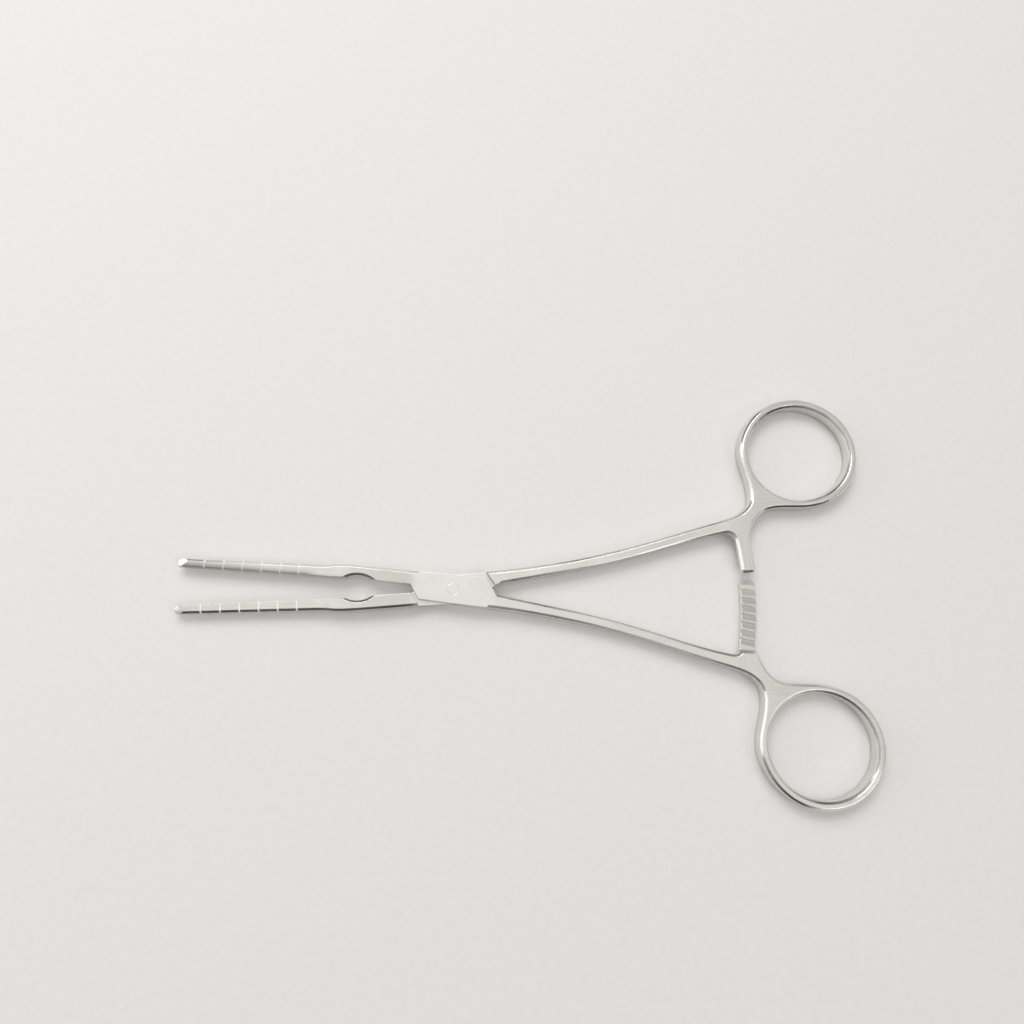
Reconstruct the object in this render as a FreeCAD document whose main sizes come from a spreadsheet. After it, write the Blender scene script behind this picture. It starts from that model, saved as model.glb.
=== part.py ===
# Box-lock vascular clamp with graduated jaws, lying flat.
# Origin: pivot axis at the plane that the clamp lies on. +X runs to the rings, +Z up.
# Each half is drawn closed, with its jaw on its own side of the X axis, and is then turned
# about the pivot to the half-open position.
import FreeCAD
import Part

import math
import os

Vector = FreeCAD.Vector

doc = FreeCAD.newDocument("vascular_clamp")

# Driving dimensions, millimetres and degrees
SIZES = [
    ("body_thickness", 4.6, "thickness of the box lock and of the finger rings"),
    ("box_half_width", 3.95, "half width of the box lock"),
    ("cheek_end_distance", 9.6, "pivot to the slanted end of a cheek"),
    ("cheek_end_angle", 33.5, "slant of the cheek ends"),
    ("shoulder_distance", 10.4, "pivot to the shoulder of the male half"),
    ("shoulder_angle", 30.0, "slant of the shoulders"),
    ("tongue_thickness", 1.5, "tongue of the male half"),
    ("tongue_edge_angle", 61.8, "slant of the tongue edge"),
    ("slot_clearance", 0.08, "tongue to cheek, each side"),
    ("swing_clearance", 0.15, "tongue edge to the end of the slot"),
    ("pin_radius", 1.6, "pivot pin"),
    ("pin_clearance", 0.03, "running clearance of the tongue on the pin"),
    ("rest_half_angle", 3.95, "each half is turned by this from closed"),
    ("opening_angle", 30.0, "further opening from the rest position"),
    ("jaw_length", 74.2, "pivot to jaw tip"),
    ("jaw_tip_width", 2.45, "outer edge at the tip"),
    ("jaw_step_width", 3.6, "outer edge at the end of the slim part"),
    ("jaw_root_width", 4.3, "outer edge at the widest part of the root"),
    ("jaw_step_distance", 37.3, "pivot to the end of the slim part"),
    ("jaw_tip_thickness", 2.4, "thickness at the tip"),
    ("jaw_step_thickness", 3.2, "thickness at the end of the slim part"),
    ("tip_gap", 0.05, "gripping edge to the closing line at the tip"),
    ("tip_round", 0.55, "length of the rounding from the tip to the gripping edge"),
    ("tip_slant", 45, "how far the facets of the tip are turned toward its outer side"),
    ("tip_facet", 1.45, "width of the facets of the tip"),
    ("tip_drop", 0.8, "how far the facets thin the tip, each side"),
    ("heel_gap", 0.72, "gripping edge to the closing line at the heel"),
    ("heel_distance", 29.4, "pivot to the heel of the gripping edge"),
    ("relief_length", 7.0, "length of the hollow behind the heel"),
    ("relief_depth", 0.95, "depth of the hollow behind the heel"),
    ("crotch_gap", 0.45, "inner edge beside the box lock"),
    ("grip_pitch", 0.6, "spacing of the fine teeth on the gripping edge"),
    ("grip_depth", 0.3, "depth of the fine teeth"),
    ("mark_pitch", 5.0, "spacing of the graduation lines"),
    ("mark_distance", 67.2, "pivot to the first graduation line"),
    ("mark_width", 0.3, "width of a graduation line"),
    ("mark_depth", 0.12, "depth of a graduation line"),
    ("mark_count", 6, "number of graduation lines"),
    ("shank_width", 2.9, "width of the shank"),
    ("shank_thickness", 3.7, "thickness of the shank at its middle"),
    ("shank_root_offset", 2.6, "shank centre line beside the box lock"),
    ("shank_near_offset", 4.4, "shank centre line at a quarter of its length"),
    ("shank_mid_offset", 8.2, "shank centre line past its middle"),
    ("shank_far_offset", 13.4, "shank centre line near the ratchet"),
    ("ratchet_radius", 85.5, "pivot to the middle of the ratchet bars"),
    ("ratchet_width", 4.2, "width of the ratchet bars"),
    ("female_bar_reach", 9.6, "ratchet bar of the female half past the centre line"),
    ("male_bar_reach", 0.0, "ratchet bar of the male half past the centre line"),
    ("ratchet_gap", 0.1, "level gap between the two ratchet bars"),
    ("ratchet_pitch", 2.4, "spacing of the ratchet teeth"),
    ("ratchet_depth", 0.7, "depth of the ratchet teeth"),
    ("lead_length", 1.6, "length of the bevel at the tip of the female bar"),
    ("female_teeth", 7, "teeth on the female bar"),
    ("male_teeth", 3, "teeth on the male bar"),
    ("bar_corner", 1.1, "rounded corners at the end of a bar"),
    ("bar_cove", 1.7, "radius of the hollow at the root of a ratchet bar"),
    ("ring_offset", 20.9, "ratchet to ring centre, along the clamp"),
    ("ring_drop", 35.5, "closing line to ring centre"),
    ("ring_half_length", 15.7, "finger opening along the clamp"),
    ("ring_half_width", 14.35, "finger opening across the clamp"),
    ("ring_bar_width", 2.5, "width of the ring bar"),
    ("ring_fullness", 0.06, "how full the ring is toward the shank"),
    ("edge_bevel", 0.7, "bevel along the edges of the shank, the ring and the bar"),
    ("jaw_edge_bevel", 0.65, "bevel along the outer edges of the jaw"),
]

sheet = doc.addObject("Spreadsheet::Sheet", "sizes")
for row, (alias, value, note) in enumerate(SIZES, start=1):
    sheet.set("A%d" % row, alias)
    sheet.set("B%d" % row, str(value))
    sheet.setAlias("B%d" % row, alias)
    sheet.set("C%d" % row, note)
doc.recompute()


def size(alias):
    return float(sheet.get(alias))


def polar(distance, degrees):
    turn = math.radians(degrees)
    return distance * math.cos(turn), distance * math.sin(turn)


def line_meet(distance_a, degrees_a, distance_b, degrees_b):
    """Point where two lines meet, each given by its distance from the pivot and its normal."""
    ax, ay = polar(1.0, degrees_a)
    bx, by = polar(1.0, degrees_b)
    det = ax * by - ay * bx
    x = (distance_a * by - distance_b * ay) / det
    y = (ax * distance_b - bx * distance_a) / det
    return x, y


def line_x(distance, degrees, y):
    """Where a line with this distance from the pivot and this normal crosses the height y."""
    nx, ny = polar(1.0, degrees)
    return (distance - ny * y) / nx


thickness = size("body_thickness")
middle = thickness / 2
half_width = size("box_half_width")
cheek_distance = size("cheek_end_distance")
cheek_angle = size("cheek_end_angle")
shoulder_distance = size("shoulder_distance")
shoulder_angle = size("shoulder_angle")
tongue_angle = size("tongue_edge_angle")
crotch_gap = size("crotch_gap")
travel = 2 * size("rest_half_angle") + size("opening_angle")

# The gripping edge runs between these two points
tip_inner = (-size("jaw_length") + size("tip_round"), size("tip_gap"))
heel = (-size("heel_distance"), size("heel_gap"))

# Where the inner edge of the male jaw meets its shoulder, and the tongue edge that starts there
male_crotch = (line_x(shoulder_distance, 180 - shoulder_angle, crotch_gap), crotch_gap)
edge_x, edge_y = polar(1.0, 180 + tongue_angle)
tongue_distance = male_crotch[0] * edge_x + male_crotch[1] * edge_y


def plane(body, role):
    for feature in body.Origin.OriginFeatures:
        if feature.Role == role:
            return feature
    raise ValueError(role)


def add_sketch(body, name, role, offset=None):
    sketch = body.newObject("Sketcher::SketchObject", name)
    sketch.AttachmentSupport = (plane(body, role), "")
    sketch.MapMode = "FlatFace"
    if offset is not None:
        sketch.AttachmentOffset = offset
    return sketch


# How closely the arcs of an outline follow its curve
arc_fit = 0.04


def path(points, side=1):
    return [Vector(x, side * y, 0) for x, y in points]


def smooth_run(points, start=None, end=None):
    """Tangent arcs that follow a smooth curve through the points."""
    curve = Part.BSplineCurve()
    if start is None:
        curve.interpolate(points)
    else:
        curve.interpolate(
            Points=points, InitialTangent=start / start.Length, FinalTangent=end / end.Length, Scale=False)
    return curve.toBiArcs(arc_fit)


def tangent_arc(before, start, end):
    """Arc to a point that carries on smoothly from the line before it."""
    ahead = start - before
    chord = end - start
    bisector = (ahead / ahead.Length + chord / chord.Length).normalize()
    halfway = start + bisector * (chord.Length ** 2 / 2 / bisector.dot(chord))
    return Part.Arc(start, halfway, end)


def polygon(points, side=1):
    corners = path(points, side)
    return [Part.LineSegment(a, b) for a, b in zip(corners, corners[1:] + corners[:1])]


# Finger ring: an ellipse that is a little fuller toward the shank
ring_x = size("ratchet_radius") + size("ring_offset")
ring_y = -size("ring_drop")


def ring_point(degrees, grow):
    turn = math.radians(degrees)
    full = 1 + size("ring_fullness") * max(0.0, math.cos(turn - math.radians(135))) ** 2
    x = ring_x + (size("ring_half_length") * full + grow) * math.cos(turn)
    y = ring_y + (size("ring_half_width") * full + grow) * math.sin(turn)
    return x, y


bar_width = size("ring_bar_width")
ratchet_in = size("ratchet_radius") - size("ratchet_width") / 2
ratchet_out = size("ratchet_radius") + size("ratchet_width") / 2
shank_start = cheek_distance + 3.5


def station(share):
    return shank_start + share * (size("ratchet_radius") - shank_start)


def shank_line(offset_sign):
    """Points along one edge of the shank: +1 is the inner edge, -1 the outer edge."""
    half = offset_sign * size("shank_width") / 2
    return [
        (station(0.24), -size("shank_near_offset") + half * 1.03),
        (station(0.56), -size("shank_mid_offset") + half * 0.98),
        (station(0.89), -size("shank_far_offset") + half * 1.25),
    ]


def box_corners(female):
    """Corners of the box lock in plan, from the root of the jaw round by way of the crotch."""
    root_outer = (-cheek_distance, half_width)
    side_start = (0.0, -half_width)
    outer_root = (cheek_distance, -half_width - 0.35)
    shank_edge = -size("shank_root_offset") + size("shank_width") * 0.7
    if female:
        crotch = (line_x(cheek_distance, 180 + cheek_angle, crotch_gap), crotch_gap)
        low_corner = (line_x(cheek_distance, 180 + cheek_angle, -half_width + 0.5), -half_width + 0.5)
        low_end = (line_x(cheek_distance, cheek_angle, shank_edge), shank_edge)
        top_corner = (line_x(cheek_distance, cheek_angle, half_width), half_width)
    else:
        crotch = male_crotch
        low_corner = line_meet(tongue_distance, 180 + tongue_angle, half_width, 270)
        low_end = (line_x(tongue_distance, tongue_angle, shank_edge), shank_edge)
        top_corner = line_meet(tongue_distance, tongue_angle, half_width, 90)
    return root_outer, crotch, low_corner, side_start, outer_root, low_end, top_corner


def half_outline(side, reach, female):
    """Closed outline of one half: jaw, box lock, shank, ring and ratchet bar."""
    edges = []

    def add_line(a, b):
        edges.append(Part.LineSegment(*path([a, b], side)))

    # Jaw, from the box lock along the outer edge to the tip and back
    jaw = -size("jaw_length")
    step = -size("jaw_step_distance")
    root_outer, crotch, low_corner, side_start, outer_root, low_end, top_corner = box_corners(female)
    step_end = (step + 4.0, size("jaw_root_width") - 0.25)
    widest = (step * 0.64, size("jaw_root_width"))
    step_start = (step, size("jaw_step_width"))
    tip_middle = (size("tip_gap") + size("jaw_tip_width")) / 2
    tip_outer = (jaw + tip_middle, size("jaw_tip_width"))
    relief_end = (heel[0] + size("relief_length"), heel[1])
    relief_mid = (heel[0] + size("relief_length") / 2, heel[1] + size("relief_depth"))
    slim = Vector(tip_outer[0] - step_start[0], side * (tip_outer[1] - step_start[1]), 0)
    root = path([root_outer, widest, step_end, step_start], side)
    edges.extend(smooth_run(root, Vector(-1, side * 0.04, 0), slim))
    add_line(step_start, tip_outer)
    edges.append(tangent_arc(*path([step_start, tip_outer, tip_inner], side)))
    add_line(tip_inner, heel)
    edges.append(Part.Arc(*path([heel, relief_mid, relief_end], side)))
    add_line(relief_end, crotch)

    # Box lock on the shank side of the crotch
    add_line(crotch, low_corner)
    add_line(low_corner, side_start)
    add_line(side_start, outer_root)

    # Shank, round the finger ring and up to the outer side of the ratchet bar
    outer = [outer_root] + shank_line(-1)
    outer.append((ratchet_out + 0.9, -size("shank_far_offset") - 7.0))
    outer += [ring_point(degrees, bar_width) for degrees in range(158, 423, 24)]
    outer.append(ring_point(100, bar_width - 0.2))
    throat = ring_y + size("ring_half_width") + bar_width
    outer.append((ratchet_out + 4.0, throat + 1.4))
    outer.append((ratchet_out + 0.7, throat + 5.5))
    foot = math.degrees((throat + 10) / ratchet_out)
    outer.append(polar(ratchet_out, foot))
    leave, arrive = path([(outer_root[0], outer_root[1] + half_width), polar(1, foot + 90)], side)
    edges.extend(smooth_run(path(outer, side), leave, arrive))

    # Ratchet bar with rounded corners at its end
    corner = size("bar_corner")
    end = math.degrees(math.asin((reach - corner) / size("ratchet_radius")))
    edges.append(Part.Arc(*path([polar(ratchet_out, a) for a in (foot, (foot + end) / 2, end)], side)))
    out_x, out_y = polar(1, end)

    def at_end(radius, ahead):
        return out_x * radius - out_y * ahead, out_y * radius + out_x * ahead

    bulge = corner * math.sqrt(0.5)
    corner_out = ratchet_out - corner
    corner_in = ratchet_in + corner
    outer_corner = [at_end(ratchet_out, 0), at_end(corner_out + bulge, bulge), at_end(corner_out, corner)]
    inner_corner = [at_end(corner_in, corner), at_end(corner_in - bulge, bulge), at_end(ratchet_in, 0)]
    edges.append(Part.Arc(*path(outer_corner, side)))
    add_line(outer_corner[-1], inner_corner[0])
    edges.append(Part.Arc(*path(inner_corner, side)))

    # Down the inner side of the bar and back along the shank
    back = shank_line(1)[::-1] + [low_end]
    corner_y = back[0][1]
    heel_angle = math.degrees((corner_y + 1.9) / ratchet_in)
    edges.append(Part.Arc(*path(
        [polar(ratchet_in, a) for a in (end, (end + heel_angle) / 2, heel_angle)], side)))
    inner = [polar(ratchet_in, heel_angle)]
    inner.append((ratchet_in - 1.1, corner_y + 0.5))
    inner.append((ratchet_in - 2.6, corner_y - 0.1))
    last = (back[-1][0] - back[-2][0], back[-1][1] - back[-2][1])
    leave, arrive = path([polar(1, heel_angle - 90), last], side)
    edges.extend(smooth_run(path(inner + back, side), leave, arrive))
    add_line(low_end, top_corner)
    add_line(top_corner, root_outer)
    return edges


def at_height(z):
    return FreeCAD.Placement(Vector(0, 0, z), FreeCAD.Rotation())


volumes = {}


def add_pocket(body, name, sketch, length=None, both_sides=False, upward=False):
    """Cut a sketch out of the body. Without a length it goes right through."""
    before = volumes.get(body.Name, 0) or body.Shape.Volume
    pocket = body.newObject("PartDesign::Pocket", name)
    pocket.Profile = sketch
    pocket.Refine = False
    pocket.Midplane = both_sides
    pocket.Reversed = upward
    if length is None:
        pocket.Type = "ThroughAll"
    else:
        pocket.setExpression("Length", length)
    doc.recompute()
    volumes[body.Name] = body.Shape.Volume
    if volumes[body.Name] > before - 1e-3:
        raise RuntimeError(name + " cuts nothing")
    return pocket


def profile_cut(body, name, points, above):
    """Cut what lies above (or below) a line of points seen from the side."""
    sketch = add_sketch(body, name + "_profile", "XZ_Plane")
    if above:
        corners = [Vector(x, middle + z, 0) for x, z in points]
        level = thickness + 1
    else:
        corners = [Vector(x, middle - z, 0) for x, z in points]
        level = -1
    if points[0][1] > middle:
        edges = smooth_run(corners)
    else:
        edges = [Part.LineSegment(corners[0], corners[1])]
        edges += smooth_run(corners[1:], corners[1] - corners[0], corners[-1] - corners[-2])
    far = Vector(corners[-1].x, level, 0)
    near = Vector(corners[0].x, level, 0)
    edges.append(Part.LineSegment(corners[-1], far))
    edges.append(Part.LineSegment(far, near))
    edges.append(Part.LineSegment(near, corners[0]))
    sketch.addGeometry(edges, False)
    return add_pocket(body, name, sketch, "4 * sizes.ring_drop", both_sides=True)


def side_profiles(body, name):
    """Thin the jaw toward its tip and the shank toward its middle."""
    step = -size("jaw_step_distance")
    root = -(shoulder_distance + 3)
    slope = (size("jaw_step_thickness") - size("jaw_tip_thickness")) / (size("jaw_length") + step) / 2
    jaw_line = [
        (-size("jaw_length") - 2, size("jaw_tip_thickness") / 2 - 2 * slope),
        (step, size("jaw_step_thickness") / 2),
        (step + 4, size("jaw_step_thickness") / 2 + 0.35),
        (root, middle + 0.01),
    ]
    shank_line_z = [
        (shank_start - 1, middle + 0.08),
        (station(0.35), size("shank_thickness") / 2),
        (station(0.7), size("shank_thickness") / 2),
        (ratchet_in, middle + 0.08),
    ]
    for above in (True, False):
        tag = "_top" if above else "_under"
        profile_cut(body, name + "_jaw" + tag, jaw_line, above)
        profile_cut(body, name + "_shank" + tag, shank_line_z, above)


def wall_corner():
    """Corner of the solid that closes the jaw end of the slot, in the closed position."""
    distance = tongue_distance + size("swing_clearance")
    closed = 180 - tongue_angle
    return line_meet(distance, closed, distance, closed + travel)


def cut_slot(body, name):
    """Slot of the female half, shaped to let the tongue swing from closed to fully open."""
    x, y = wall_corner()
    shut_x, shut_y = polar(2 * shoulder_distance, 270 - tongue_angle)
    open_x, open_y = polar(3 * half_width, 90 - tongue_angle + travel)
    far = 2 * shoulder_distance
    half = [
        (-x - open_x, -y - open_y),
        (-x, -y),
        (-x - shut_x, -y - shut_y),
        (far + 4, far),
    ]
    corners = half + [(-a, -b) for a, b in half]
    sketch = add_sketch(body, name + "_slot_plan", "XY_Plane", at_height(middle))
    sketch.addGeometry(polygon(corners), False)
    add_pocket(body, name + "_slot", sketch, "sizes.tongue_thickness + 2 * sizes.slot_clearance",
               both_sides=True)


def cut_tongue(body, name, side):
    """Recesses on both faces of the male half that leave its tongue."""
    nx, ny = polar(shoulder_distance, -shoulder_angle)
    tx, ty = polar(2 * half_width + 2, 90 - shoulder_angle)
    corners = [(nx + tx, ny + ty), (nx - tx, ny - ty), (-nx - tx, -ny - ty), (-nx + tx, -ny + ty)]
    depth = "(sizes.body_thickness - sizes.tongue_thickness) / 2"
    for tag, z in (("_upper", thickness), ("_lower", 0.0)):
        sketch = add_sketch(body, name + tag + "_recess_plan", "XY_Plane", at_height(z))
        sketch.addGeometry(polygon(corners, side), False)
        add_pocket(body, name + tag + "_recess", sketch, depth, upward=(tag == "_lower"))


def cut_bore(body, name, radius):
    sketch = add_sketch(body, name + "_bore_plan", "XY_Plane", at_height(middle))
    sketch.addGeometry(Part.Circle(Vector(0, 0, 0), Vector(0, 0, 1), radius), False)
    add_pocket(body, name + "_bore", sketch, "2 * sizes.body_thickness", both_sides=True)


def cut_ring(body, name, side):
    """Finger opening."""
    sketch = add_sketch(body, name + "_finger_plan", "XY_Plane", at_height(middle))
    curve = Part.BSplineCurve()
    curve.interpolate(
        Points=path([ring_point(degrees, 0) for degrees in range(0, 360, 30)], side), PeriodicFlag=True)
    sketch.addGeometry(curve.toBiArcs(arc_fit), False)
    add_pocket(body, name + "_finger", sketch, "2 * sizes.body_thickness", both_sides=True)


def cut_ratchet(body, name, side, female, reach, other_reach, teeth):
    """Halve the ratchet bar in thickness and cut its teeth, on top of the female bar
    and under the male one."""
    first = reach - size("ratchet_pitch") * 0.9
    root = min(-other_reach - 0.3, first - teeth * size("ratchet_pitch") - 0.3)
    level = middle - size("ratchet_gap") / 2

    def at(y, z):
        return Vector(side * y, z if female else thickness - z, 0)

    radius = size("bar_cove")
    bend = radius * math.sqrt(0.5)
    cove = Part.Arc(
        at(root, level), at(root - bend, level + radius - bend), at(root - radius, level + radius))
    rim = [cove.EndPoint, at(root - radius, thickness + 1), at(reach + 2, thickness + 1),
           at(reach + 2, level), cove.StartPoint]
    sketch = add_sketch(body, name + "_bar_plan", "YZ_Plane", at_height(size("ratchet_radius")))
    sketch.addGeometry([Part.LineSegment(p, q) for p, q in zip(rim, rim[1:])] + [cove], False)
    add_pocket(body, name + "_bar", sketch, "sizes.ratchet_width + 5", both_sides=True)
    pitch = size("ratchet_pitch")
    profile = [
        (first, level + 0.4),
        (first, level),
        (first - pitch * 0.15, level - size("ratchet_depth")),
        (first - pitch * 0.88, level),
        (first - pitch * 0.88, level + 0.4),
    ]
    corners = [at(y, z) for y, z in profile]
    sketch = add_sketch(body, name + "_tooth_plan", "YZ_Plane", at_height(size("ratchet_radius")))
    sketch.addGeometry([Part.LineSegment(a, b) for a, b in zip(corners, corners[1:] + corners[:1])], False)
    tooth = add_pocket(body, name + "_tooth", sketch, "sizes.ratchet_width + 4", both_sides=True)
    pattern = body.newObject("PartDesign::PolarPattern", name + "_teeth")
    pattern.Originals = [tooth]
    pattern.Refine = False
    pattern.Axis = (plane(body, "Z_Axis"), [""])
    pattern.Reversed = side > 0
    count = "sizes.female_teeth" if female else "sizes.male_teeth"
    pattern.setExpression("Occurrences", count)
    pattern.setExpression(
        "Angle", "(%s - 1) * sizes.ratchet_pitch / sizes.ratchet_radius * 180 / pi" % count)
    body.Tip = pattern
    doc.recompute()


def cut_lead(body, name, side, reach):
    """Bevel at the tip of the female bar, which leads the other bar over its teeth."""
    level = middle - size("ratchet_gap") / 2
    length = size("lead_length")
    profile = [
        (reach + 0.4 - length, level + 0.2),
        (reach + 0.4 - length, level),
        (reach + 1, level - 0.9),
        (reach + 1, level + 0.2),
    ]
    sketch = add_sketch(body, name + "_lead_plan", "YZ_Plane", at_height(size("ratchet_radius")))
    sketch.addGeometry(polygon([(side * y, z) for y, z in profile]), False)
    add_pocket(body, name + "_lead", sketch, "sizes.ratchet_width + 4", both_sides=True)


def cut_marks(body, name, side):
    """Graduation lines: shallow grooves over the top, the underside and the outer side of the slim jaw."""
    step = -size("jaw_step_distance")
    half_mark = size("mark_width") / 2
    depth = size("mark_depth")
    faces = []
    flanks = []
    for number in range(int(size("mark_count"))):
        x = -size("mark_distance") + number * size("mark_pitch")
        share = (x - step) / (-size("jaw_length") - step)
        edge = size("jaw_step_width") * (1 - share) + size("jaw_tip_width") * share
        rise = (size("jaw_step_thickness") * (1 - share) + size("jaw_tip_thickness") * share) / 2
        for level in (1, -1):
            floor = middle + level * (rise - depth)
            clear = middle + level * (rise + 1)
            faces += polygon([(x - half_mark, floor), (x + half_mark, floor),
                              (x + half_mark, clear), (x - half_mark, clear)])
        flanks += polygon([(x - half_mark, edge - depth), (x + half_mark, edge - depth),
                           (x + half_mark, edge + 1), (x - half_mark, edge + 1)], side)
    for tag, role, outlines in (("_marks", "XZ_Plane", faces), ("_side_marks", "XY_Plane", flanks)):
        sketch = add_sketch(body, name + tag + "_plan", role)
        sketch.addGeometry(outlines, False)
        add_pocket(body, name + tag, sketch, "4 * sizes.body_thickness", both_sides=True)


def cut_tip(body, name, side):
    """Slanted facets over and under the jaw tip, which run back along its outer side."""
    rise = size("jaw_tip_thickness") / 2
    start = size("tip_facet") - 0.85
    slope = size("tip_drop") / size("tip_facet")
    far = start - size("tip_facet") - 1
    turn = FreeCAD.Rotation(Vector(0, 1, 0), -side * size("tip_slant"))
    place = FreeCAD.Placement(Vector(-size("jaw_length"), 0, 0), turn)
    sketch = add_sketch(body, name + "_tip_plan", "XZ_Plane", place)
    for level in (1, -1):
        profile = [(start, rise), (far, rise - slope * (start - far)), (far, rise + 1), (start, rise + 1)]
        sketch.addGeometry(polygon([(x, middle + level * z) for x, z in profile]), False)
    add_pocket(body, name + "_tip", sketch, "4 * sizes.body_thickness", both_sides=True)


def cut_grip(body, name, side):
    """Fine teeth across the gripping edge, each a V groove into the jaw."""
    run = Vector(heel[0] - tip_inner[0], heel[1] - tip_inner[1], 0)
    count = round(run.Length / size("grip_pitch"))
    into = Vector(-run.y, run.x, 0).normalize()
    start = Vector(tip_inner[0], tip_inner[1], 0)
    corners = [start - into]
    for tooth in range(count):
        corners.append(start + run * (tooth / count))
        corners.append(start + run * ((tooth + 0.5) / count) + into * size("grip_depth"))
    corners += [start + run, start + run - into]
    sketch = add_sketch(body, name + "_grip_plan", "XY_Plane", at_height(middle))
    sketch.addGeometry(polygon([(q.x, q.y) for q in corners], side), False)
    add_pocket(body, name + "_grip", sketch, "2 * sizes.body_thickness", both_sides=True)


def skin_edges(body, side, low_x, high_x, outer_only):
    """Names of the edges between a flank and an upper or lower face, between two stations."""
    names = []
    for number, edge in enumerate(body.Shape.Edges, start=1):
        points = edge.discretize(9)
        if min(q.x for q in points) < low_x or max(q.x for q in points) > high_x:
            continue
        if min(abs(q.z - middle) for q in points) < 0.8:
            continue
        if outer_only and min(side * q.y for q in points) < size("heel_gap") + 0.4:
            continue
        flanks = 0
        for face in body.Shape.ancestorsOfType(edge, Part.Face):
            u, v = face.Surface.parameter(points[4])
            if abs(face.normalAt(u, v).z) < 0.05:
                flanks += 1
        if flanks == 1:
            names.append("Edge%d" % number)
    return names


def add_bevel(body, name, names, leg):
    before = body.Shape.Volume
    base = body.Tip
    bevel = body.newObject("PartDesign::Chamfer", name)
    bevel.Base = (base, names)
    bevel.Refine = False
    bevel.setExpression("Size", leg)
    body.Tip = bevel
    doc.recompute()
    if body.Shape.Volume > before - 1e-3:
        raise RuntimeError(name + " bevels nothing")


def square_box(body, name, side, female):
    """Fill the box lock out again to its crisp square section, which the bevels run on over."""
    before = body.Shape.Volume
    sketch = add_sketch(body, name + "_box_plan", "XY_Plane")
    sketch.addGeometry(polygon(box_corners(female), side), False)
    pad = body.newObject("PartDesign::Pad", name + "_box")
    pad.Profile = sketch
    pad.Refine = False
    pad.setExpression("Length", "sizes.body_thickness")
    doc.recompute()
    volumes[body.Name] = body.Shape.Volume
    if volumes[body.Name] < before + 1e-3:
        raise RuntimeError(name + " box lock adds nothing")


def make_half(name, side, female):
    body = doc.addObject("PartDesign::Body", name)
    reach = size("female_bar_reach") if female else size("male_bar_reach")
    other_reach = size("male_bar_reach") if female else size("female_bar_reach")
    teeth = size("female_teeth") if female else size("male_teeth")
    plan = add_sketch(body, name + "_plan", "XY_Plane")
    plan.addGeometry(half_outline(side, reach, female), False)
    pad = body.newObject("PartDesign::Pad", name + "_pad")
    pad.Profile = plan
    pad.setExpression("Length", "sizes.body_thickness")
    doc.recompute()
    side_profiles(body, name)
    cut_ring(body, name, side)
    outer = skin_edges(body, side, -size("jaw_length") - 1, -cheek_distance + 0.2, True)
    add_bevel(body, name + "_jaw_bevel", outer, "sizes.jaw_edge_bevel")
    cut_marks(body, name, side)
    cut_tip(body, name, side)
    handle = skin_edges(body, side, shank_start - 0.2, size("ratchet_radius") * 2, False)
    add_bevel(body, name + "_handle_bevel", handle, "sizes.edge_bevel")
    square_box(body, name, side, female)
    if female:
        cut_slot(body, name)
        cut_bore(body, name, size("pin_radius"))
    else:
        cut_tongue(body, name, side)
        cut_bore(body, name, size("pin_radius") + size("pin_clearance"))
    cut_ratchet(body, name, side, female, reach, other_reach, teeth)
    if female:
        cut_lead(body, name, side, reach)
    cut_grip(body, name, side)
    body.Placement = FreeCAD.Placement(
        Vector(0, 0, 0), FreeCAD.Rotation(Vector(0, 0, 1), -side * size("rest_half_angle")))
    doc.recompute()
    return body


def make_pin():
    body = doc.addObject("PartDesign::Body", "pivot_pin")
    sketch = add_sketch(body, "pin_plan", "XY_Plane")
    sketch.addGeometry(Part.Circle(Vector(0, 0, 0), Vector(0, 0, 1), size("pin_radius")), False)
    pad = body.newObject("PartDesign::Pad", "pin_pad")
    pad.Profile = sketch
    pad.setExpression("Length", "sizes.body_thickness")
    doc.recompute()
    return body


pieces = [make_half("female_half", 1, True), make_half("male_half", -1, False), make_pin()]

faults = [item.Name for item in doc.Objects if "Invalid" in item.State or "Error" in item.State]
for piece in pieces:
    if piece.Shape.isNull() or not piece.Shape.isValid() or len(piece.Shape.Solids) != 1:
        faults.append(piece.Name)
if faults:
    raise RuntimeError("not built: " + ", ".join(faults))

os.makedirs("parts", exist_ok=True)
for piece in pieces:
    piece.Shape.exportStep("parts/%s.step" % piece.Label)
    print(piece.Label, round(piece.Shape.Volume, 1), piece.Shape.BoundBox)
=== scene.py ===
"""Visual scene of the vascular clamp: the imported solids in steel, a pale floor and soft light.

Lengths are in metres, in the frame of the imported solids."""
import math

import bpy
from mathutils import Matrix, Vector

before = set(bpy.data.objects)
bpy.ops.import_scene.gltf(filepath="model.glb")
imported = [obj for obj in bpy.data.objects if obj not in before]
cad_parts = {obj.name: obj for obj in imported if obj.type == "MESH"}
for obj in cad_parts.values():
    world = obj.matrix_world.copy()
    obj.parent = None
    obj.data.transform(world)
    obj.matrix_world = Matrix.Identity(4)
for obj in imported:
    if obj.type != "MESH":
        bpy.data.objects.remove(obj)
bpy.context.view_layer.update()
scene = bpy.context.scene

# Distances and sizes on a half, whose x runs along it from the pivot and is negative toward the jaw
rest_turn = math.radians(3.95)
box_end = 0.0104
jaw_start = 0.014
bar_middle = 0.0855
bar_half_width = 0.0021
bar_half_length = 0.0125
ring_start = 0.091
first_mark = 0.0672
last_mark = 0.0422
mark_pitch = 0.005
slim_start = 0.034
crown_width = 0.0026

# How far one zone takes to fade into the next
box_fade_start = -0.0006
box_fade_end = 0.002
bar_fade_start = 0.0006
bar_fade_end = 0.0014
bar_tip_fade = 0.002
slim_fade = 0.006
mark_margin = 0.0004
mark_fade = 0.0003

# Graduation lines, half widths as shares of their spacing
line_core = 0.032
line_edge = 0.048

# Radius of the rounded edges
crisp_edge = 0.00012
soft_edge = 0.0004

# Range of a noise pattern that is put to use
noise_low = 0.3
noise_high = 0.7

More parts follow.
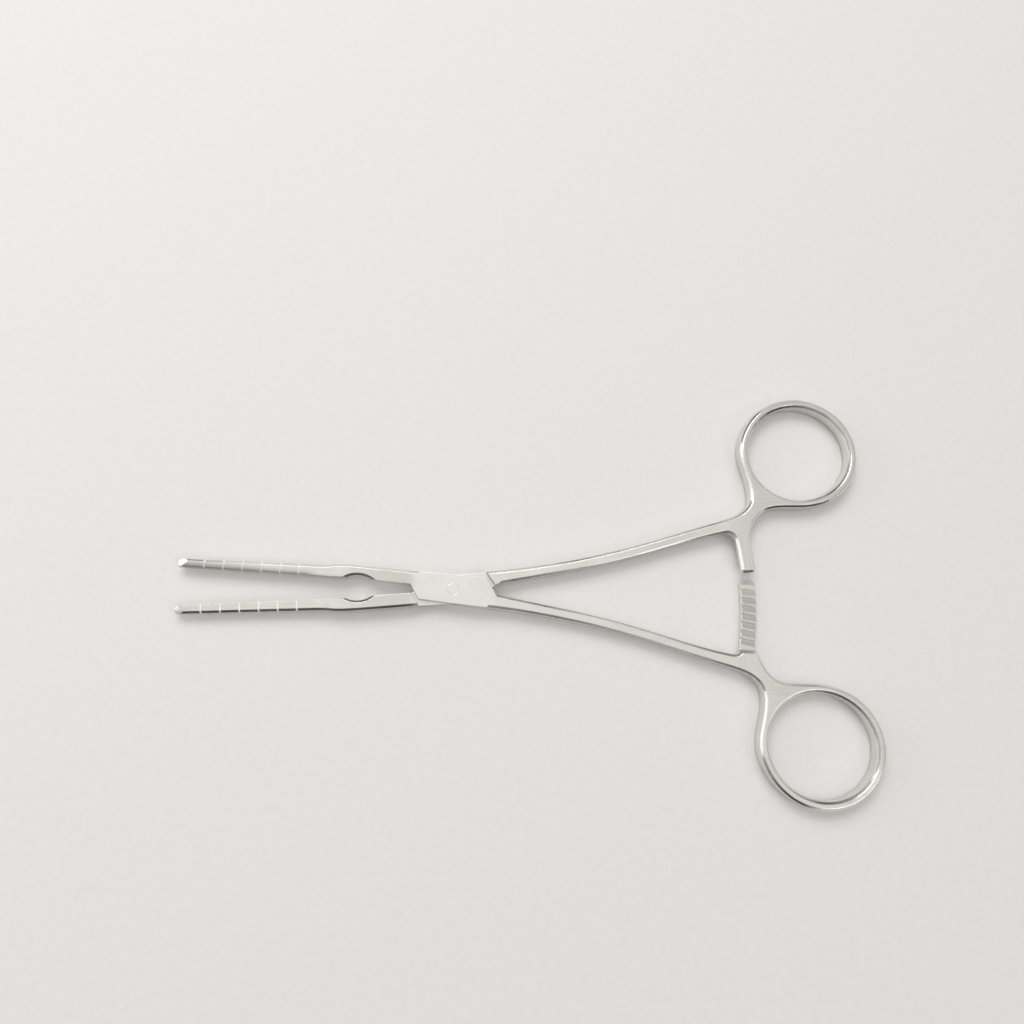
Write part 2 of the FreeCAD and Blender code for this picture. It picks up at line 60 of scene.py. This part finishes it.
# Patterns on the steel, grains per metre along, across and through a half
shank_streaks = (45, 3000, 3000)
ground_streaks = (2400, 90, 300)
cloud_grains = (75, 110, 110)
fine_grains = (3600, 3600, 3600)
scuff_grains = (700, 700, 700)

# Wear by how far the rounded normal turns from the face, as a cosine, broken up by scuffs
unworn_cosine = 0.995
worn_cosine = 0.90
scuff_low = 0.35
scuff_high = 0.65
least_scuffed = 0.2

# Colours of the steel, and where on the cloud pattern the first three lie
cloud_colors = [
    (0.3, (0.76, 0.747, 0.713)),
    (0.5, (0.82, 0.808, 0.773)),
    (0.72, (0.88, 0.869, 0.836)),
]
ground_color = (0.84, 0.828, 0.797)
streak_color = (0.66, 0.65, 0.63)
worn_color = (0.93, 0.92, 0.90)
# Colour of the painted shade in the seams and creases
seam_shade_color = (0.24, 0.23, 0.215)
line_color = (0.93, 0.93, 0.92)

# How strongly each of those shows
ground_share = 0.55
streak_share = 0.35
streak_low = 0.35
worn_share = 0.6
# Share of the painted shade where it is darkest
seam_shade_share = 0.7

# Painted shade where the surroundings close in, by how open a point still is within the reach
seam_shade_reach = 0.0006
seam_shade_closed = 0.3
seam_shade_open = 0.85

# Roughness of each finish, and how the patterns vary it
satin_rough = 0.26
box_rough = 0.35
polish_rough = 0.15
worn_rough = 0.2
line_rough = 0.6
line_metallic = 0.25
streak_rough = (-0.04, 0.05)
cloud_rough = (-0.03, 0.04)

# Relief of the grinding marks
satin_relief = 0.2
ground_relief = 0.55
polish_relief = 0.08
relief_depth = 0.00003
streak_weight = 0.75
grain_weight = 0.25

# Floor
floor_size = 40.0
floor_middle = (0.03, 0, 0)
paper_colors = [
    (0.3, (0.765, 0.765, 0.765)),
    (0.7, (0.795, 0.795, 0.795)),
]
paper_rough = (0.65, 0.8)
paper_grains = (500, 500, 500)

# Sky by height, from the horizon to overhead, with what north and east add to that height
sky_colors = [
    (0.0, (0.06, 0.062, 0.066)),
    (0.15, (0.12, 0.123, 0.13)),
    (0.45, (0.42, 0.42, 0.415)),
    (1.0, (0.87, 0.858, 0.83)),
]
sky_north = 0.12
sky_east = -0.10
sky_strength = (0.82, 1.12)
sky_grains = (2.4, 2.4, 2.4)

# Camera, from the fit of the photograph
photo_width = 1024.0
focal_pixels = 770.0
sensor_width = 36.0
nearest_view = 0.01
camera_place = (-0.0069, -0.0259, 0.2165)
into_table = Vector((-0.112, 0.225, 1.0)).normalized()


class Nodes:
    """Small helper to lay out one node tree."""

    def __init__(self, tree):
        self.tree = tree

    def put(self, socket, value):
        if isinstance(value, bpy.types.NodeSocket):
            self.tree.links.new(value, socket)
        else:
            socket.default_value = value

    def add(self, kind, **values):
        node = self.tree.nodes.new(kind)
        for key, value in values.items():
            setattr(node, key, value)
        return node

    def math(self, operation, *values):
        node = self.add("ShaderNodeMath", operation=operation)
        for socket, value in zip(node.inputs, values):
            self.put(socket, value)
        return node.outputs[0]

    def split(self, vector):
        node = self.add("ShaderNodeSeparateXYZ")
        self.put(node.inputs[0], vector)
        return node.outputs

    def local(self, turn):
        """Object coordinates turned about the pivot."""
        coords = self.add("ShaderNodeTexCoord")
        mapping = self.add("ShaderNodeMapping")
        mapping.inputs["Rotation"].default_value = (0, 0, turn)
        self.put(mapping.inputs["Vector"], coords.outputs["Object"])
        return mapping.outputs["Vector"]

    def noise(self, vector, scale, detail=3.0, roughness=0.5):
        """Noise with a number of grains per unit on each axis."""
        stretch = self.add("ShaderNodeVectorMath", operation="MULTIPLY")
        self.put(stretch.inputs[0], vector)
        stretch.inputs[1].default_value = scale
        node = self.add("ShaderNodeTexNoise")
        node.inputs["Scale"].default_value = 1.0
        node.inputs["Detail"].default_value = detail
        node.inputs["Roughness"].default_value = roughness
        self.put(node.inputs["Vector"], stretch.outputs[0])
        return node.outputs["Fac"]

    def remap(self, value, low, high, to_low, to_high):
        node = self.add("ShaderNodeMapRange")
        for socket, number in zip(node.inputs, (value, low, high, to_low, to_high)):
            self.put(socket, number)
        return node.outputs[0]

    def mix(self, share, first, second):
        node = self.add("ShaderNodeMix", data_type="FLOAT")
        self.put(node.inputs[0], share)
        self.put(node.inputs[2], first)
        self.put(node.inputs[3], second)
        return node.outputs[0]

    def tint(self, base, share, color):
        """A colour with a share of a plain colour laid over it."""
        node = self.add("ShaderNodeMix", data_type="RGBA")
        self.put(node.inputs[0], share)
        self.put(node.inputs[6], base)
        self.put(node.inputs[7], (*color, 1.0))
        return node.outputs[2]

    def ramp(self, value, stops):
        node = self.add("ShaderNodeValToRGB")
        while len(node.color_ramp.elements) < len(stops):
            node.color_ramp.elements.new(0.5)
        for element, (position, color) in zip(node.color_ramp.elements, stops):
            element.position = position
            element.color = (*color, 1.0)
        self.put(node.inputs["Fac"], value)
        return node.outputs["Color"]


def new_material(name):
    material = bpy.data.materials.new(name)
    material.use_nodes = True
    tree = material.node_tree
    return material, Nodes(tree), tree.nodes["Principled BSDF"]


# Steel


def finish_zones(m, x, y):
    """Where each finish holds, 0 to 1: box lock, all ground faces, handle, and polished jaw and ring."""
    from_bar = m.math("ABSOLUTE", m.math("SUBTRACT", x, bar_middle))
    across_bar = m.remap(from_bar, bar_half_width + bar_fade_start, bar_half_width + bar_fade_end, 1, 0)
    along_bar = m.remap(m.math("ABSOLUTE", y), bar_half_length, bar_half_length + bar_tip_fade, 1, 0)
    bar = m.math("MULTIPLY", across_bar, along_bar)

    jaw = m.remap(x, -box_end, -jaw_start, 0, 1)
    box = m.remap(m.math("ABSOLUTE", x), box_end + box_fade_start, box_end + box_fade_end, 1, 0)
    ring = m.remap(x, bar_middle, ring_start, 0, 1)
    handle = m.math("MULTIPLY", m.remap(x, box_end, jaw_start, 0, 1), m.math("SUBTRACT", 1.0, bar))
    ground = m.math("MAXIMUM", box, bar)
    polish = m.math("MAXIMUM", jaw, m.math("MULTIPLY", ring, handle))
    return box, ground, handle, polish


def rounded_edges(m, place, handle):
    """Normal that rounds the edges, and where the metal along them is worn."""
    rounding = m.add("ShaderNodeBevel", samples=8)
    m.put(rounding.inputs["Radius"], m.mix(handle, crisp_edge, soft_edge))
    bare = m.add("ShaderNodeNewGeometry")
    turned = m.add("ShaderNodeVectorMath", operation="DOT_PRODUCT")
    m.put(turned.inputs[0], rounding.outputs[0])
    m.put(turned.inputs[1], bare.outputs["Normal"])
    edge = m.remap(turned.outputs["Value"], unworn_cosine, worn_cosine, 0, 1)
    scuffs = m.noise(place, scuff_grains, detail=4.0, roughness=0.65)
    wear = m.math("MULTIPLY", edge, m.remap(scuffs, scuff_low, scuff_high, least_scuffed, 1))
    return rounding.outputs[0], wear


def graduation_lines(m, x):
    """Where the lines across the slim part of a jaw run."""
    step = m.math("DIVIDE", m.math("ADD", x, first_mark), mark_pitch)
    off_line = m.math("ABSOLUTE", m.math("SUBTRACT", step, m.math("ROUND", step)))
    line = m.remap(off_line, line_core, line_edge, 1, 0)
    inner = mark_margin - last_mark
    outer = -mark_margin - first_mark
    before_last = m.remap(x, inner, inner + mark_fade, 1, 0)
    past_first = m.remap(x, outer - mark_fade, outer, 0, 1)
    return m.math("MULTIPLY", line, m.math("MULTIPLY", before_last, past_first))


def crowned(m, x, y, slope, normal):
    """Normal of the slim part of a jaw, curved down toward its gripping edge to a slope."""
    short = m.math("MAXIMUM", m.math("SUBTRACT", crown_width, m.math("ABSOLUTE", y)), 0.0)
    fall = m.math("MULTIPLY", m.math("POWER", short, 2.0), -slope / 2 / crown_width)
    slim = m.remap(x, -slim_start, -slim_start - slim_fade, 0, 1)
    node = m.add("ShaderNodeBump")
    node.inputs["Strength"].default_value = 1.0
    node.inputs["Distance"].default_value = 1.0
    m.put(node.inputs["Height"], m.math("MULTIPLY", fall, slim))
    m.put(node.inputs["Normal"], normal)
    return node.outputs["Normal"]


def steel(name, turn, crown):
    """Surgical steel: polished jaws and ring, satin shank, ground box lock and ratchet bar.

    The turn lays the half along x, and the crown is the slope of its slim jaw at the gripping edge."""
    material, m, shader = new_material(name)
    place = m.local(turn)
    x, y, _ = m.split(place)
    box, ground, handle, polish = finish_zones(m, x, y)
    rounded, wear = rounded_edges(m, place, handle)
    line = graduation_lines(m, x)

    # Grinding marks, along the shank and across the ground faces
    lengthwise = m.noise(place, shank_streaks, detail=3.0, roughness=0.6)
    crosswise = m.noise(place, ground_streaks, detail=3.0, roughness=0.6)
    streaks = m.mix(ground, lengthwise, crosswise)
    cloud = m.noise(place, cloud_grains, detail=4.0, roughness=0.55)
    grain = m.noise(place, fine_grains, detail=2.0)

    # Painted shade, dark in the seams, between the teeth and along the roots
    hollow = m.add("ShaderNodeAmbientOcclusion", samples=8)
    hollow.inputs["Distance"].default_value = seam_shade_reach
    painted_seam_shade = m.remap(hollow.outputs["AO"], seam_shade_closed, seam_shade_open, seam_shade_share, 0)

    color = m.ramp(cloud, cloud_colors)
    color = m.tint(color, m.math("MULTIPLY", ground, ground_share), ground_color)
    color = m.tint(color, m.remap(streaks, streak_low, noise_high, 0.0, streak_share), streak_color)
    color = m.tint(color, m.math("MULTIPLY", wear, worn_share), worn_color)
    # Darken the colour with painted shade where the surroundings close in
    color = m.tint(color, painted_seam_shade, seam_shade_color)
    color = m.tint(color, line, line_color)
    m.put(shader.inputs["Base Color"], color)
    m.put(shader.inputs["Metallic"], m.mix(line, 1.0, line_metallic))

    rough = m.mix(polish, m.mix(box, satin_rough, box_rough), polish_rough)
    rough = m.math("ADD", rough, m.remap(streaks, noise_low, noise_high, *streak_rough))
    rough = m.math("ADD", rough, m.remap(cloud, noise_low, noise_high, *cloud_rough))
    rough = m.mix(line, m.mix(wear, rough, worn_rough), line_rough)
    m.put(shader.inputs["Roughness"], rough)

    relief = m.add("ShaderNodeBump")
    strength = m.mix(polish, m.mix(ground, satin_relief, ground_relief), polish_relief)
    height = m.math("MULTIPLY_ADD", streaks, streak_weight, m.math("MULTIPLY", grain, grain_weight))
    relief.inputs["Distance"].default_value = relief_depth
    m.put(relief.inputs["Strength"], strength)
    m.put(relief.inputs["Height"], height)
    m.put(relief.inputs["Normal"], crowned(m, x, y, crown, rounded))
    m.put(shader.inputs["Normal"], relief.outputs["Normal"])
    return material


def dress(node, material):
    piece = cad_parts[node]
    piece.data.materials.clear()
    piece.data.materials.append(material)


dress("female_half", steel("steel_female", rest_turn, crown=0.9))
dress("male_half", steel("steel_male", -rest_turn, crown=0.04))
dress("pivot_pin", steel("steel_pin", 0.0, crown=0.0))

# Floor


def paper():
    """Pale matte paper."""
    material, m, shader = new_material("floor_paper")
    fibres = m.noise(m.local(0.0), paper_grains, detail=5.0)
    m.put(shader.inputs["Base Color"], m.ramp(fibres, paper_colors))
    m.put(shader.inputs["Roughness"], m.remap(fibres, noise_low, noise_high, *paper_rough))
    return material


bpy.ops.mesh.primitive_plane_add(size=floor_size, location=floor_middle)
floor = bpy.context.object
floor.name = "floor"
floor.data.materials.append(paper())

# Light: a studio that is bright overhead and dark along its walls, a window, a low card and a fill


def studio():
    world = bpy.data.worlds.new("studio")
    world.use_nodes = True
    m = Nodes(world.node_tree)
    background = world.node_tree.nodes["Background"]
    direction = m.add("ShaderNodeTexCoord").outputs["Generated"]
    east, north, up = m.split(direction)
    leaned = m.math("MULTIPLY_ADD", east, sky_east, up)
    height = m.math("MULTIPLY_ADD", north, sky_north, leaned)
    clouds = m.noise(direction, sky_grains, detail=2.0)
    m.put(background.inputs["Color"], m.ramp(height, sky_colors))
    m.put(background.inputs["Strength"], m.remap(clouds, noise_low, noise_high, *sky_strength))
    return world


def area(name, place, target, size, power, color):
    light = bpy.data.lights.new(name, "AREA")
    light.shape = "RECTANGLE"
    light.size, light.size_y = size
    light.energy = power
    light.color = color
    lamp = bpy.data.objects.new(name, light)
    scene.collection.objects.link(lamp)
    lamp.location = place
    lamp.rotation_euler = (Vector(target) - Vector(place)).to_track_quat("-Z", "Y").to_euler()
    lamp.visible_camera = False


scene.world = studio()
area("window", place=(-0.25, 0.75, 0.9), target=(0.03, 0, 0),
     size=(0.9, 0.6), power=6.3, color=(1.0, 0.98, 0.95))
area("card", place=(-0.6, 0.08, 0.2), target=(-0.05, 0, 0),
     size=(0.8, 0.24), power=0.8, color=(1.0, 0.99, 0.97))
area("fill", place=(0.75, -0.45, 0.8), target=(0.03, 0, 0),
     size=(0.45, 0.45), power=1.2, color=(1.0, 0.985, 0.95))

# Camera

camera_data = bpy.data.cameras.new("camera")
camera_data.sensor_width = sensor_width
camera_data.lens = focal_pixels / photo_width * sensor_width
camera_data.clip_start = nearest_view
camera = bpy.data.objects.new("camera", camera_data)
scene.collection.objects.link(camera)
scene.camera = camera

# The table's axes as the camera sees them, with x to the right, y down and z forward
table_x = (Vector((1, 0, 0)) - into_table.x * into_table).normalized()
table_y = table_x.cross(into_table)
seen_axes = Matrix((table_x, table_y, -into_table))
# A camera's own y points up and its z points back
turn = seen_axes @ Matrix.Diagonal((1, -1, -1))
camera.matrix_world = Matrix.Translation(camera_place) @ turn.to_4x4()

scene.view_settings.view_transform = "Standard"
